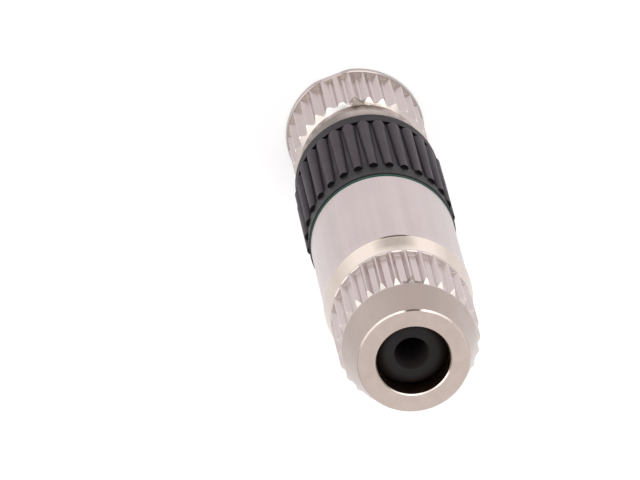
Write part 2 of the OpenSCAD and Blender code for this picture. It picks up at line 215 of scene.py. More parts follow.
seat_back = SEAT_FRONT + SEAT_T
groove_front = clip_front - CLIP_PLAY
groove_back = clip_back + CLIP_PLAY
sleeve = turned("carrier_sleeve_part", [
    (TUBE_BORE_R, sleeve_front), (TUBE_R, sleeve_front), (TUBE_R, groove_front),
    (CLIP_GROOVE_R, groove_front), (CLIP_GROOVE_R, groove_back), (TUBE_R, groove_back),
    (TUBE_R, SEAT_FRONT), (seat_r, SEAT_FRONT), (seat_r, seat_back), (SPIGOT_R, seat_back),
    (SPIGOT_R, sleeve_back - END_CHAMFER), (SPIGOT_R - END_CHAMFER, sleeve_back),
    (SPIGOT_BORE_R, sleeve_back), (SPIGOT_BORE_R, insert_back), (TUBE_BORE_R, insert_back),
])
for side in (90, -90):
    mill_flat(sleeve, side, SEAT_FLATS / 2, SEAT_FRONT, seat_back)
break_edges(sleeve, width=0.05)
cut_thread(sleeve, SPIGOT_R, SCREW_PITCH, low=ring_back + THREAD_LAND, high=sleeve_back + THREAD_LEAD)


def new_group(name, inputs, outputs):
    """An empty shader node group with these sockets, and its input and output nodes."""
    group = bpy.data.node_groups.new(name, "ShaderNodeTree")
    for socket, default in inputs.items():
        kind = "NodeSocketVector" if default is None else "NodeSocketFloat"
        made = group.interface.new_socket(socket, in_out="INPUT", socket_type=kind)
        if default is not None:
            made.default_value = default
    for socket in outputs:
        kind = "NodeSocketColor" if socket == "Tone" else "NodeSocketFloat"
        group.interface.new_socket(socket, in_out="OUTPUT", socket_type=kind)
    return group, group.nodes.new("NodeGroupInput"), group.nodes.new("NodeGroupOutput")


def math_node(tree, operation, first, second=None):
    """A math node on two sockets or numbers; returns its output."""
    node = tree.nodes.new("ShaderNodeMath")
    node.operation = operation
    for socket, value in zip(node.inputs, (first, second)):
        if isinstance(value, (int, float)):
            socket.default_value = value
        elif value is not None:
            tree.links.new(value, socket)
    return node.outputs[0]


def noise(tree, vector, scale, detail=2.0, roughness=0.5):
    """A noise texture on a vector; returns its value."""
    node = tree.nodes.new("ShaderNodeTexNoise")
    node.inputs["Detail"].default_value = detail
    node.inputs["Roughness"].default_value = roughness
    if isinstance(scale, (int, float)):
        node.inputs["Scale"].default_value = scale
    else:
        tree.links.new(scale, node.inputs["Scale"])
    tree.links.new(vector, node.inputs["Vector"])
    return node.outputs["Fac"]


def stretched(tree, vector, scale, turn=(0, 0, 0)):
    """A vector turned and scaled, for a pattern that runs longer one way."""
    node = tree.nodes.new("ShaderNodeMapping")
    node.inputs["Rotation"].default_value = turn
    node.inputs["Scale"].default_value = scale
    tree.links.new(vector, node.inputs["Vector"])
    return node.outputs["Vector"]


def ramp(tree, value, low, high, to_low=0.0, to_high=1.0):
    """A value brought from one range to another and clamped there."""
    node = tree.nodes.new("ShaderNodeMapRange")
    for socket, number in zip(("From Min", "From Max", "To Min", "To Max"), (low, high, to_low, to_high)):
        node.inputs[socket].default_value = number
    tree.links.new(value, node.inputs["Value"])
    return node.outputs["Result"]


MOST_OF_NOISE = (0.3, 0.7)
PEAKS_OF_NOISE = (0.70, 0.76)
PLATE_CLOUDS_PER_METRE = 260
SCRATCH_SCALE = (180, 3200, 420)
SCRATCH_TURN = (0.5, 0.35, 0.9)
STREAK_SCALE = (1100, 1100, 45)


def turning_marks_group():
    """The marks of the lathe and the bath: fine rings, clouds, scratches, streaks. Also where a point is."""
    group, source, result = new_group(
        "turning_marks", {"Vector": None, "Lines per metre": 6000.0},
        ("Lines", "Clouds", "Scratches", "Streaks", "Radius", "Height", "Angle"),
    )
    vector = source.outputs["Vector"]
    parts = group.nodes.new("ShaderNodeSeparateXYZ")
    group.links.new(vector, parts.inputs[0])
    across = group.nodes.new("ShaderNodeCombineXYZ")
    group.links.new(parts.outputs["X"], across.inputs["X"])
    group.links.new(parts.outputs["Y"], across.inputs["Y"])
    radius = group.nodes.new("ShaderNodeVectorMath")
    radius.operation = "LENGTH"
    group.links.new(across.outputs[0], radius.inputs[0])
    along = math_node(group, "ADD", radius.outputs["Value"], parts.outputs["Z"])
    line = group.nodes.new("ShaderNodeTexNoise")
    line.noise_dimensions = "1D"
    line.inputs["Detail"].default_value = 3
    group.links.new(along, line.inputs["W"])
    group.links.new(source.outputs["Lines per metre"], line.inputs["Scale"])
    clouds = noise(group, vector, PLATE_CLOUDS_PER_METRE, detail=3)
    scratches = noise(group, stretched(group, vector, SCRATCH_SCALE, SCRATCH_TURN), 1.0, detail=1)
    streaks = noise(group, stretched(group, vector, STREAK_SCALE), 1.0)
    angle = math_node(group, "ARCTAN2", parts.outputs["Y"], parts.outputs["X"])
    marks = {
        "Lines": line.outputs["Fac"],
        "Clouds": ramp(group, clouds, *MOST_OF_NOISE),
        "Scratches": ramp(group, scratches, *PEAKS_OF_NOISE),
        "Streaks": ramp(group, streaks, *MOST_OF_NOISE),
        "Radius": math_node(group, "DIVIDE", radius.outputs["Value"], MM),
        "Height": math_node(group, "DIVIDE", parts.outputs["Z"], MM),
        "Angle": math_node(group, "DEGREES", angle),
    }
    for name, value in marks.items():
        group.links.new(value, result.inputs[name])
    return group


TURNING_MARKS = turning_marks_group()
# Only the tone of straight faces is the plate's own. The others are painted reflections and highlights of
# sloping faces: warm on cones, darker on collars, white on chamfers, beige on end faces.
STRAIGHT_TONE = (0.575, 0.485, 0.482)
CONE_REFLECTION = (0.64, 0.54, 0.475)
COLLAR_REFLECTION = (0.465, 0.385, 0.355)
WHITE_HIGHLIGHT = (0.94, 0.86, 0.79)
FACE_REFLECTION = (0.59, 0.485, 0.435)
REFLECTIONS_BY_SLOPE = [
    (0.0, STRAIGHT_TONE), (0.06, STRAIGHT_TONE), (0.11, CONE_REFLECTION), (0.16, CONE_REFLECTION), (0.21, COLLAR_REFLECTION),
    (0.36, COLLAR_REFLECTION), (0.46, WHITE_HIGHLIGHT), (0.82, WHITE_HIGHLIGHT), (0.96, FACE_REFLECTION), (1.0, FACE_REFLECTION),
]


def painted_reflection_group():
    """Painted reflections by a face's slope: the cool tone of nickel plate on straight faces, warm painted
    reflections on cones and end faces, a white painted highlight on chamfers.
    """
    group, source, result = new_group("slope_reflections", {"Normal": None}, ("Tone",))
    parts = group.nodes.new("ShaderNodeSeparateXYZ")
    group.links.new(source.outputs["Normal"], parts.inputs[0])
    tones = group.nodes.new("ShaderNodeValToRGB")
    for slope, _ in REFLECTIONS_BY_SLOPE[2:]:
        tones.color_ramp.elements.new(slope)
    for element, (slope, tone) in zip(tones.color_ramp.elements, REFLECTIONS_BY_SLOPE):
        element.position = slope
        element.color = (*tone, 1)
    group.links.new(parts.outputs["Z"], tones.inputs["Fac"])
    group.links.new(tones.outputs["Color"], result.inputs["Tone"])
    return group


PAINTED_REFLECTION = painted_reflection_group()


def new_material(name):
    """A new material: returns it, its Principled shader and its coordinates."""
    finish = bpy.data.materials.new(name)
    finish.use_nodes = True
    shader = finish.node_tree.nodes["Principled BSDF"]
    place = finish.node_tree.nodes.new("ShaderNodeTexCoord")
    return finish, shader, place.outputs


def mixed_colour(tree, factor, first, second):
    """Two colours, written or linked, mixed by a value."""
    node = tree.nodes.new("ShaderNodeMix")
    node.data_type = "RGBA"
    colour_inputs = node.inputs[6:8]
    colour_output = node.outputs[2]
    for socket, colour in zip(colour_inputs, (first, second)):
        if isinstance(colour, tuple):
            socket.default_value = (*colour, 1)
        else:
            tree.links.new(colour, socket)
    tree.links.new(factor, node.inputs["Factor"])
    return colour_output


def scaled_colour(tree, colour, factor):
    """A colour made lighter or darker by a value."""
    node = tree.nodes.new("ShaderNodeVectorMath")
    node.operation = "SCALE"
    tree.links.new(colour, node.inputs[0])
    tree.links.new(factor, node.inputs["Scale"])
    return node.outputs[0]


def bumped(tree, height, distance):
    """A bump node on a height."""
    node = tree.nodes.new("ShaderNodeBump")
    node.inputs["Strength"].default_value = 1.0
    node.inputs["Distance"].default_value = distance
    tree.links.new(height, node.inputs["Height"])
    return node.outputs["Normal"]


def placed_group(tree, group, **links):
    """Puts a node group into a tree and links or sets its inputs."""
    node = tree.nodes.new("ShaderNodeGroup")
    node.node_tree = group
    for socket, value in links.items():
        target = node.inputs[socket.replace("_", " ")]
        if isinstance(value, (int, float)):
            target.default_value = value
        else:
            tree.links.new(value, target)
    return node.outputs


def within(tree, value, low, high, soft):
    """1 where a value lies between two numbers, falling to 0 over a soft margin outside them."""
    rise = ramp(tree, value, low - soft, low)
    fall = ramp(tree, value, high, high + soft, 1.0, 0.0)
    return math_node(tree, "MULTIPLY", rise, fall)


ANY_RADIUS = (0, 20)
ALL_ROUND = (-200, 200)
SPECKS_PER_METRE = 16000
SPECK_EDGES = (0.38, 0.62)


def lay_stain_and_light(tree, marks, specks, colour, tint, heights, radii=ANY_RADIUS, angles=ALL_ROUND,
            share=1.0, broken=0.0, soft=0.05, fade=6.0):
    """Lays a tint over a colour, within ranges of height, radius and angle, and breaks it up into specks."""
    patch = within(tree, marks["Height"], *heights, soft)
    patch = math_node(tree, "MULTIPLY", patch, within(tree, marks["Radius"], *radii, soft))
    patch = math_node(tree, "MULTIPLY", patch, within(tree, marks["Angle"], *angles, fade))
    cover = ramp(tree, specks, *SPECK_EDGES, share - broken / 2, share + broken / 2)
    cover = math_node(tree, "MULTIPLY", patch, cover)
    return mixed_colour(tree, ramp(tree, cover, 0.0, 1.0), colour, tint)


MOTTLE = (0.88, 1.04)


def plating(name, smooth, rough, line_height, lines=6000.0, tones=None, stains_and_light=()):
    """Nickel plate on turned brass with reflections painted by slope, or bare metal of two tones, by its
    range of roughness, its stains and its painted light.
    """
    finish, shader, place = new_material(name)
    tree = finish.node_tree
    marks = placed_group(tree, TURNING_MARKS, Vector=place["Object"], Lines_per_metre=lines)
    if tones is None:
        tone = placed_group(tree, PAINTED_REFLECTION, Normal=place["Normal"])["Tone"]
        mottle = math_node(tree, "ADD", marks["Clouds"], marks["Streaks"])
        colour = scaled_colour(tree, tone, ramp(tree, mottle, 0.0, 2.0, *MOTTLE))
    else:
        colour = mixed_colour(tree, marks["Clouds"], *tones)
    # The tints laid here are stains and painted light: highlights, reflections and shade.
    specks = noise(tree, place["Object"], SPECKS_PER_METRE, detail=5, roughness=0.6) if stains_and_light else None
    for tint_spec in stains_and_light:
        colour = lay_stain_and_light(tree, marks, specks, colour, **tint_spec)
    shader.inputs["Metallic"].default_value = 1.0
    tree.links.new(colour, shader.inputs["Base Color"])
    grain = math_node(tree, "ADD", marks["Clouds"], marks["Scratches"])
    tree.links.new(ramp(tree, grain, 0.0, 1.5, smooth, rough), shader.inputs["Roughness"])
    height = math_node(tree, "SUBTRACT", marks["Lines"], marks["Scratches"])
    tree.links.new(bumped(tree, height, line_height), shader.inputs["Normal"])
    return finish


SLEEVE_NICKEL = plating("sleeve_nickel", smooth=0.24, rough=0.36, line_height=1.5e-6)
FACE_WEIGHT = 80


def handed_over(piece, node, body, finish, smooth_below=35):
    """Brings a finished piece to metres, smooths its edges below an angle, and lets it stand for its node."""
    only(piece)
    bpy.ops.object.shade_smooth_by_angle(angle=math.radians(smooth_below))
    applied(piece, "WEIGHTED_NORMAL", keep_sharp=True, weight=FACE_WEIGHT)
    piece.scale = (MM, MM, MM)
    bpy.ops.object.transform_apply(location=False, rotation=False, scale=True)
    piece.data.materials.clear()
    piece.data.materials.append(finish)
    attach(piece, body)
    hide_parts(node)


handed_over(sleeve, "carrier_sleeve", "core", SLEEVE_NICKEL)


# Coupling nut
# Turned and fluted brass, nickel-plated, with a plain flange at its rim, one flat and a plain neck.
# It turns freely on the sleeve behind the clip and screws onto the mating thread.
nut_front, nut_back, nut_flange_r = reach("coupling_nut")
NUT_FLUTES = 30
NUT_FLUTE_DEPTH = 0.36
NUT_FLOOR_W = 0.24
NUT_FLUTE_ANGLE = 51.0
NUT_FLUTE_RUNOUT = 0.2
NUT_RIDGE_R = 5.8
NUT_RIDGE_END = 6.23
NUT_RIDGE_FIRST = -92.7
NUT_FLANGE_T = 0.6
NUT_NECK_R = 5.28
NUT_FLAT_AT = -66.5
NUT_FLAT_DEPTH = 0.22
NUT_BORE_R = 3.46
NUT_THREAD_L = 5.0
NUT_MOUTH = 0.6
NUT_RELIEF_R = 4.1
NUT_SHOULDER = 6.2
NUT_TURNING_R = 3.13
MATING_PITCH = 1.0
EDGE = 0.12
FLUTE_OVERCUT = 0.04
STEPS_EACH = 8  # lathe steps for one flute or rib


def repeated(piece, count, first):
    """Copies a piece evenly round the axis, with the first at an angle."""
    only(piece)
    piece.rotation_euler.z = math.radians(first)
    bpy.ops.object.transform_apply(location=False, rotation=True, scale=False)
    bpy.ops.object.mode_set(mode="EDIT")
    bpy.ops.mesh.select_all(action="SELECT")
    bpy.ops.mesh.spin(
        steps=count - 1, angle=math.tau * (count - 1) / count, center=(0, 0, 0), axis=(0, 0, 1), dupli=True,
    )
    bpy.ops.object.mode_set(mode="OBJECT")
    return piece


def cut_between_ridges(piece, outline, run, count, ridge_first):
    """Cuts an outline, drawn out along a run, between each two of the ridges round a piece."""
    cutter = outlined("cutter", outline)
    bpy.ops.mesh.edge_face_add()
    bpy.ops.mesh.extrude_region_move(TRANSFORM_OT_translate={"value": run})
    bpy.ops.mesh.select_all(action="SELECT")
    bpy.ops.mesh.normals_make_consistent(inside=False)
    bpy.ops.object.mode_set(mode="OBJECT")
    combine(piece, repeated(cutter, count, ridge_first + 180 / count), "DIFFERENCE")


def cut_flutes(piece, count, ridge_first, ridge_r, depth, floor_w, side_angle, low, high):
    """Cuts upright flutes with a flat floor and sloping sides into a round face."""
    open_r = ridge_r + FLUTE_OVERCUT
    floor_r = ridge_r - depth
    floor_half = floor_w / 2
    open_half = floor_half + (open_r - floor_r) * math.tan(math.radians(side_angle))
    outline = [
        (floor_r, -floor_half, low), (open_r, -open_half, low),
        (open_r, open_half, low), (floor_r, floor_half, low),
    ]
    cut_between_ridges(piece, outline, (0, 0, high - low), count, ridge_first)


nut_teeth = NUT_RIDGE_END - NUT_RIDGE_R + NUT_NECK_R
nut = turned("coupling_nut_part", [
    (NUT_BORE_R + NUT_MOUTH, nut_front), (nut_flange_r - EDGE, nut_front), (nut_flange_r, nut_front + EDGE),
    (nut_flange_r, NUT_FLANGE_T - nut_flange_r + NUT_RIDGE_R), (NUT_RIDGE_R, NUT_FLANGE_T),
    (NUT_RIDGE_R, nut_teeth), (NUT_NECK_R, NUT_RIDGE_END), (NUT_NECK_R, nut_back - EDGE),
    (NUT_NECK_R - EDGE, nut_back), (NUT_TURNING_R, nut_back), (NUT_TURNING_R, NUT_SHOULDER),
    (NUT_RELIEF_R, NUT_SHOULDER), (NUT_RELIEF_R, NUT_THREAD_L), (NUT_BORE_R, NUT_THREAD_L),
    (NUT_BORE_R, nut_front + NUT_MOUTH),
], steps=NUT_FLUTES * STEPS_EACH)
cut_flutes(
    nut, NUT_FLUTES, NUT_RIDGE_FIRST, NUT_RIDGE_R, NUT_FLUTE_DEPTH, NUT_FLOOR_W, NUT_FLUTE_ANGLE,
    low=NUT_FLANGE_T, high=NUT_RIDGE_END + NUT_FLUTE_RUNOUT,
)
mill_flat(nut, NUT_FLAT_AT, nut_flange_r - NUT_FLAT_DEPTH, nut_front, NUT_RIDGE_END - FLAT_OVERRUN)
break_edges(nut, width=0.02)
cut_thread(
    nut, NUT_BORE_R, MATING_PITCH, low=nut_front - THREAD_LEAD, high=NUT_THREAD_L + THREAD_RUNOUT,
    inside=True,
)

RIM_GREY = (0.44, 0.39, 0.375)
# Painted reflection: the flute end walls lighter than the plate's own tone.
FLUTE_END_REFLECTION = (0.80, 0.75, 0.72)
# Painted reflection: dark gold specks at the feet of the flutes.
FLUTE_FOOT_REFLECTION = (0.42, 0.36, 0.27)
# Painted highlight on the teeth where the light falls.
TOOTH_HIGHLIGHT = (1.0, 0.97, 0.95)
# Painted shade on teeth and wall chamfers at the sides.
TOOTH_SHADE = (0.60, 0.53, 0.49)
# Painted shadow of the grip ring's lip on the neck, a light and a dark step.
NECK_HALF_SHADOW = (0.40, 0.335, 0.305)
NECK_SHADOW = (0.20, 0.165, 0.15)
# Painted shade on the neck just under the teeth.
NECK_FOOT_SHADE = (0.16, 0.115, 0.085)
# Dark brown specks on the teeth and ridge ends in a narrow arc in the middle.
DARK_BROWN = (0.10, 0.075, 0.06)
HAIR = 0.01
UNDER_FLUTES_R = 5.0
TOOTH_TIP = 0.1
nut_rim = dict(heights=(0, NUT_FLANGE_T + 2 * HAIR), radii=(NUT_RIDGE_R - 0.05, nut_flange_r), soft=HAIR)
nut_walls = dict(
    heights=(NUT_FLANGE_T - 0.05, NUT_FLANGE_T + 0.03), radii=(UNDER_FLUTES_R, NUT_RIDGE_R - 0.06),
    soft=HAIR,
)
nut_flute_feet = dict(heights=(NUT_FLANGE_T, NUT_FLANGE_T + 0.1), radii=(UNDER_FLUTES_R, NUT_RIDGE_R))
nut_tooth_row = dict(heights=(nut_teeth + TOOTH_TIP, NUT_RIDGE_END), radii=(NUT_NECK_R, NUT_RIDGE_R))
middle_teeth = dict(heights=(nut_teeth - TOOTH_TIP, NUT_RIDGE_END + 0.2), angles=(-88, -78), fade=3)
neck_foot = dict(heights=(NUT_RIDGE_END, NUT_RIDGE_END + 0.6), angles=(-98, -76), soft=0.5, fade=20)


def neck_shadow_from(height, **patch):
    """Painted shadow of the grip ring's lip on the neck, from a height above the teeth up to the grip ring.
    """
    return dict(heights=(NUT_RIDGE_END + height, nut_back), broken=0.2, **patch)


NUT_STAINS_AND_LIGHT = [
    dict(tint=RIM_GREY, **nut_rim),
    # Painted reflections on the flute end walls and at the flute feet.
    dict(tint=FLUTE_END_REFLECTION, **nut_walls),
    dict(tint=FLUTE_FOOT_REFLECTION, share=0.3, broken=1.0, **nut_flute_feet),
    # Painted highlight on the teeth near the middle, painted shade on the teeth at the sides.
    dict(tint=TOOTH_HIGHLIGHT, angles=(-74, -54), fade=4, **nut_tooth_row),
    dict(tint=TOOTH_SHADE, angles=(-46, 200), fade=6, **nut_tooth_row),
    dict(tint=TOOTH_SHADE, angles=(-200, -124), fade=8, **nut_tooth_row),
    # Painted shadow on the neck, darker towards the grip ring and reaching lower at the sides.
    neck_shadow_from(1.2, tint=NECK_HALF_SHADOW, share=0.8, soft=1.0),
    neck_shadow_from(2.2, tint=NECK_SHADOW, share=0.8, soft=1.0),
    neck_shadow_from(0.8, tint=NECK_SHADOW, angles=(-60, 0), share=0.9, soft=0.7, fade=15),
    neck_shadow_from(1.3, tint=NECK_SHADOW, angles=(-165, -115), share=0.8, soft=0.8, fade=15),
    # Painted shade under the teeth, in the middle.
    dict(tint=NECK_FOOT_SHADE, share=0.8, broken=0.8, **neck_foot),
    dict(tint=DARK_BROWN, share=0.8, broken=0.6, **middle_teeth),
]
NUT_NICKEL = plating("nut_nickel", smooth=0.20, rough=0.32, line_height=1.2e-6, stains_and_light=NUT_STAINS_AND_LIGHT)
handed_over(nut, "coupling_nut", "coupling_nut", NUT_NICKEL, smooth_below=7)


# Retaining clip
# An open ring of spring bronze, snapped into the sleeve's groove in front of the coupling nut's shoulder.
def plain_metal(name, bright, dull, smooth, rough):
    """Bare or thinly plated metal with soft clouds in its colour and roughness."""
    return plating(name, smooth, rough, line_height=0.6e-6, lines=9000.0, tones=(dull, bright))


def dressed(node, finish):
    """Gives a node whose shape is right its finish."""
    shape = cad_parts[node].data
    shape.materials.clear()
    shape.materials.append(finish)


BRONZE_BRIGHT = (0.66, 0.55, 0.36)
BRONZE_DULL = (0.52, 0.42, 0.26)
dressed("retaining_clip", plain_metal("spring_bronze", BRONZE_BRIGHT, BRONZE_DULL, smooth=0.25, rough=0.42))


# Contact insert, nose seal and contacts
# The insert is moulded in black plastic, with a keyed nose. Four turned, slit and gold-plated socket
# contacts are pushed into it from behind, and a rubber ring lies at the root of the nose.
MOULD_CLOUDS_PER_METRE = 350
HOLE_EDGE = 0.02


def moulded_group():
    """The fine grain of a spark-eroded mould, and slow clouds in its gloss."""
    group, source, result = new_group("moulded_grain", {"Vector": None, "Grain": 9000.0}, ("Grain", "Clouds"))
    grain = noise(group, source.outputs["Vector"], source.outputs["Grain"], detail=3, roughness=0.6)
    group.links.new(grain, result.inputs["Grain"])
    clouds = noise(group, source.outputs["Vector"], MOULD_CLOUDS_PER_METRE, detail=4, roughness=0.55)
    group.links.new(ramp(group, clouds, *MOST_OF_NOISE), result.inputs["Clouds"])
    return group


MOULDED_GRAIN = moulded_group()


def moulded(name, light, dark, smooth, rough, grain_height, grain=9000.0, gloss=0.5, hole=None):
    """Moulded plastic or rubber, with another tint inside the radius of a hole if it has one."""
    finish, shader, place = new_material(name)
    tree = finish.node_tree
    skin = placed_group(tree, MOULDED_GRAIN, Vector=place["Object"], Grain=grain)
    colour = mixed_colour(tree, skin["Clouds"], dark, light)
    if hole is not None:
        hole_r, hole_tint = hole
        marks = placed_group(tree, TURNING_MARKS, Vector=place["Object"])
        colour = mixed_colour(tree, within(tree, marks["Radius"], 0, hole_r, HOLE_EDGE), colour, hole_tint)
    shader.inputs["Specular IOR Level"].default_value = gloss
    tree.links.new(colour, shader.inputs["Base Color"])
    tree.links.new(ramp(tree, skin["Clouds"], 0.0, 1.0, smooth, rough), shader.inputs["Roughness"])
    tree.links.new(bumped(tree, skin["Grain"], grain_height), shader.inputs["Normal"])
    return finish


RUBBER = dict(
    light=(0.014, 0.011, 0.011), dark=(0.009, 0.0075, 0.0075), smooth=0.5, rough=0.7,
    grain_height=8e-6, grain=6000.0, gloss=0.3,
)
BLACK_RUBBER = moulded("black_rubber", **RUBBER)
INSERT_PLASTIC = moulded(
    "insert_plastic", light=(0.022, 0.022, 0.023), dark=(0.015, 0.015, 0.016), smooth=0.4, rough=0.6,
    grain_height=4e-6,
)
GOLD_BRIGHT = (0.83, 0.62, 0.26)
GOLD_DULL = (0.75, 0.53, 0.20)
CONTACT_GOLD = plain_metal("contact_gold", GOLD_BRIGHT, GOLD_DULL, smooth=0.18, rough=0.3)

dressed("contact_insert", INSERT_PLASTIC)
dressed("nose_seal", BLACK_RUBBER)
for contact in ("contact_1", "contact_2", "contact_3", "contact_4"):
    dressed(contact, CONTACT_GOLD)


# Insulating sleeve
# A plain tube of natural plastic, pushed into the sleeve's rear to keep the soldered cores off the metal.
NATURAL_PLASTIC = moulded(
    "natural_plastic", light=(0.80, 0.76, 0.67), dark=(0.74, 0.70, 0.60), smooth=0.45, rough=0.6,
    grain_height=4e-6,
)
dressed("insulating_sleeve", NATURAL_PLASTIC)


# Grip ring
# Moulded in dark grey plastic with round ribs, a lip in front and a collar behind that flares a little.
# It is keyed onto the sleeve's flange and held there by the housing.
RIBS = 29
RIB_FIRST = -94.0
RIB_FRONT_R = 0.6
RIB_BACK_R = 0.4
RIB_CREST_R = 6.29
RIB_STEPS = 56
DOME_STEPS = 6
RING_LIP_R = 6.1
RING_LIP_L = 1.34
RING_FLOOR_R = 5.85
RING_WAIST_R = 6.0
RING_COLLAR_R = 6.13
RING_COLLAR_L = 1.83
RING_POCKET_R = 5.36
RING_BORE_R = 4.92

lip_end = ring_front + RING_LIP_L
rib_start = lip_end - EDGE
rib_end = ring_back - RING_COLLAR_L
waist = rib_end - EDGE


def domed_rib():
    """One round rib with a domed front end, which tapers to the rear and keeps its crest level."""
    length = rib_end - rib_start - RIB_FRONT_R
    quarter = [math.pi / 2 * step / DOME_STEPS for step in range(DOME_STEPS + 1)]
    dome = [(RIB_FRONT_R * math.sin(angle), -RIB_FRONT_R * math.cos(angle)) for angle in quarter]
    rib = turned("rib", dome + [(RIB_BACK_R, length), (0, length)], steps=RIB_STEPS)
    rib.rotation_euler.y = math.atan2(RIB_FRONT_R - RIB_BACK_R, length)
    rib.location = (RIB_CREST_R - RIB_FRONT_R, 0, rib_start + RIB_FRONT_R)
    only(rib)
    bpy.ops.object.transform_apply(location=True, rotation=True, scale=False)
    return rib


ring = turned("grip_ring_part", [
    (RING_POCKET_R, ring_front), (RING_LIP_R - EDGE, ring_front), (RING_LIP_R, ring_front + EDGE),
    (RING_LIP_R, lip_end), (RING_FLOOR_R, lip_end), (RING_FLOOR_R, waist), (RING_WAIST_R, waist),
    (RING_COLLAR_R, ring_back - EDGE), (RING_COLLAR_R - EDGE / 2, ring_back), (RING_BORE_R, ring_back),
    (RING_BORE_R, seat_back), (RING_POCKET_R, seat_back),
], steps=RIBS * STEPS_EACH)
combine(ring, repeated(domed_rib(), RIBS, RIB_FIRST), "UNION")
break_edges(ring, width=0.05)

RING_GREY = (0.057, 0.038, 0.051)
# Painted shade: the ring turns black below the rib crests and on cut ends.
RING_SHADE_BLACK = (0.005, 0.0035, 0.0045)
RING_GLOSS = 0.18
UNSHADED_CREST_R = (6.06, 6.25)
GROOVE_LIGHT = 0.55
GROOVE_SHADE_L = 0.2
SHADED_END_SLOPE = (0.7, 0.95)


def ring_plastic():
    """Dark grey plastic with painted shade: grey on the rib crests, black further in, lighter on the floor
    between the ribs, and black on cut ends.
    """
    finish, shader, place = new_material("ring_plastic")
    tree = finish.node_tree
    skin = placed_group(tree, MOULDED_GRAIN, Vector=place["Object"], Grain=7000.0)
    marks = placed_group(tree, TURNING_MARKS, Vector=place["Object"])
    facing = tree.nodes.new("ShaderNodeSeparateXYZ")
    tree.links.new(place["Normal"], facing.inputs[0])
    # Painted shade below the rib crests, lighter on the groove floor.
    unshaded = ramp(tree, marks["Radius"], *UNSHADED_CREST_R)
    groove = within(tree, marks["Height"], lip_end, waist - GROOVE_SHADE_L, soft=0.1)
    unshaded = math_node(tree, "MAXIMUM", unshaded, math_node(tree, "MULTIPLY", groove, GROOVE_LIGHT))
    off_shaded_ends = ramp(tree, facing.outputs["Z"], *SHADED_END_SLOPE, 1.0, 0.0)
    lightness = math_node(tree, "MULTIPLY", unshaded, off_shaded_ends)
    lightness = math_node(tree, "MULTIPLY", lightness, ramp(tree, skin["Clouds"], 0.0, 1.0, 0.8, 1.0))
    shader.inputs["Specular IOR Level"].default_value = RING_GLOSS
    tree.links.new(mixed_colour(tree, lightness, RING_SHADE_BLACK, RING_GREY), shader.inputs["Base Color"])
    tree.links.new(ramp(tree, skin["Clouds"], 0.0, 1.0, 0.42, 0.56), shader.inputs["Roughness"])
    tree.links.new(bumped(tree, skin["Grain"], 5e-6), shader.inputs["Normal"])
    return finish


handed_over(ring, "grip_ring", "core", ring_plastic())


# Gasket
# A thin flat ring of green rubber that the housing presses against the back of the grip ring.
gasket_front, gasket_back, gasket_r = reach("gasket")
GASKET_BORE_R = 4.92
GREEN_RUBBER = moulded(
    "green_rubber", light=(0.015, 0.090, 0.064), dark=(0.010, 0.064, 0.045), smooth=0.45, rough=0.65,
    grain_height=4e-6,
)
gasket = turned("gasket_part", [
    (GASKET_BORE_R, gasket_front), (gasket_r, gasket_front),
    (gasket_r, gasket_back), (GASKET_BORE_R, gasket_back),
])
break_edges(gasket, width=0.04)
handed_over(gasket, "gasket", "core", GREEN_RUBBER)


# Shield ring
# A small turned ring in the housing, with a funnel in front. The cable's braid is folded over it.
dressed("shield_ring", SLEEVE_NICKEL)


# Housing
# A smooth turned barrel of nickel-plated brass.
# It screws onto the sleeve, and the clamp nut screws onto its rear.
housing_front, gland_end, housing_r = reach("housing")
clamp_front, clamp_end, clamp_flange_r = reach("clamp_nut")
CHAMBER_R = 4.5
CHAMBER_FRONT = 28.63
CHAMBER_L = 2.4
WEB_R = 2.4
WEB_T = 1.4
SOCKET_R = 3.7
SOCKET_DEPTH = 4.2
GLAND_R = 4.55
THREAD_PLAY = 0.06
THREAD_GAP = 0.08
PARTING_GAP = 0.05
REAR_EDGE = 0.04

housing_end = clamp_front - PARTING_GAP
socket_floor = gland_end - SOCKET_DEPTH
web_front = socket_floor - WEB_T
chamber_end = CHAMBER_FRONT + CHAMBER_L
housing_thread_r = SPIGOT_R - THREAD_DEPTH * SCREW_PITCH + THREAD_PLAY
spigot_relief_r = SPIGOT_R + THREAD_GAP
housing = turned("housing_part", [
    (housing_thread_r, housing_front), (housing_r - EDGE / 2, housing_front),
    (housing_r, housing_front + EDGE / 2), (housing_r, housing_end - REAR_EDGE),
    (housing_r - REAR_EDGE, housing_end), (GLAND_R, housing_end), (GLAND_R, gland_end - END_CHAMFER),
    (GLAND_R - END_CHAMFER, gland_end), (SOCKET_R, gland_end), (SOCKET_R, socket_floor),
    (WEB_R, socket_floor), (WEB_R, web_front), (SOCKET_R, web_front), (SOCKET_R, chamber_end),
    (CHAMBER_R, chamber_end - CHAMBER_R + SOCKET_R), (spigot_relief_r, CHAMBER_FRONT),
    (spigot_relief_r, sleeve_back), (housing_thread_r, sleeve_back),
])
break_edges(housing, width=0.015)
cut_thread(housing, GLAND_R, SCREW_PITCH, low=housing_end + THREAD_LAND, high=gland_end + THREAD_LEAD)
cut_thread(
    housing, housing_thread_r, SCREW_PITCH, low=housing_front - THREAD_LEAD,
    high=sleeve_back + THREAD_RUNOUT, phase=SCREW_PITCH / 2, inside=True,
)
HOUSING_NICKEL = plating("housing_nickel", smooth=0.26, rough=0.34, line_height=0.6e-6, lines=8000.0)
handed_over(housing, "housing", "housing", HOUSING_NICKEL)


# Seal washer
# A flat plastic washer on the housing's inner wall, which the cable seal slides on while it is squeezed.
dressed("seal_washer", NATURAL_PLASTIC)


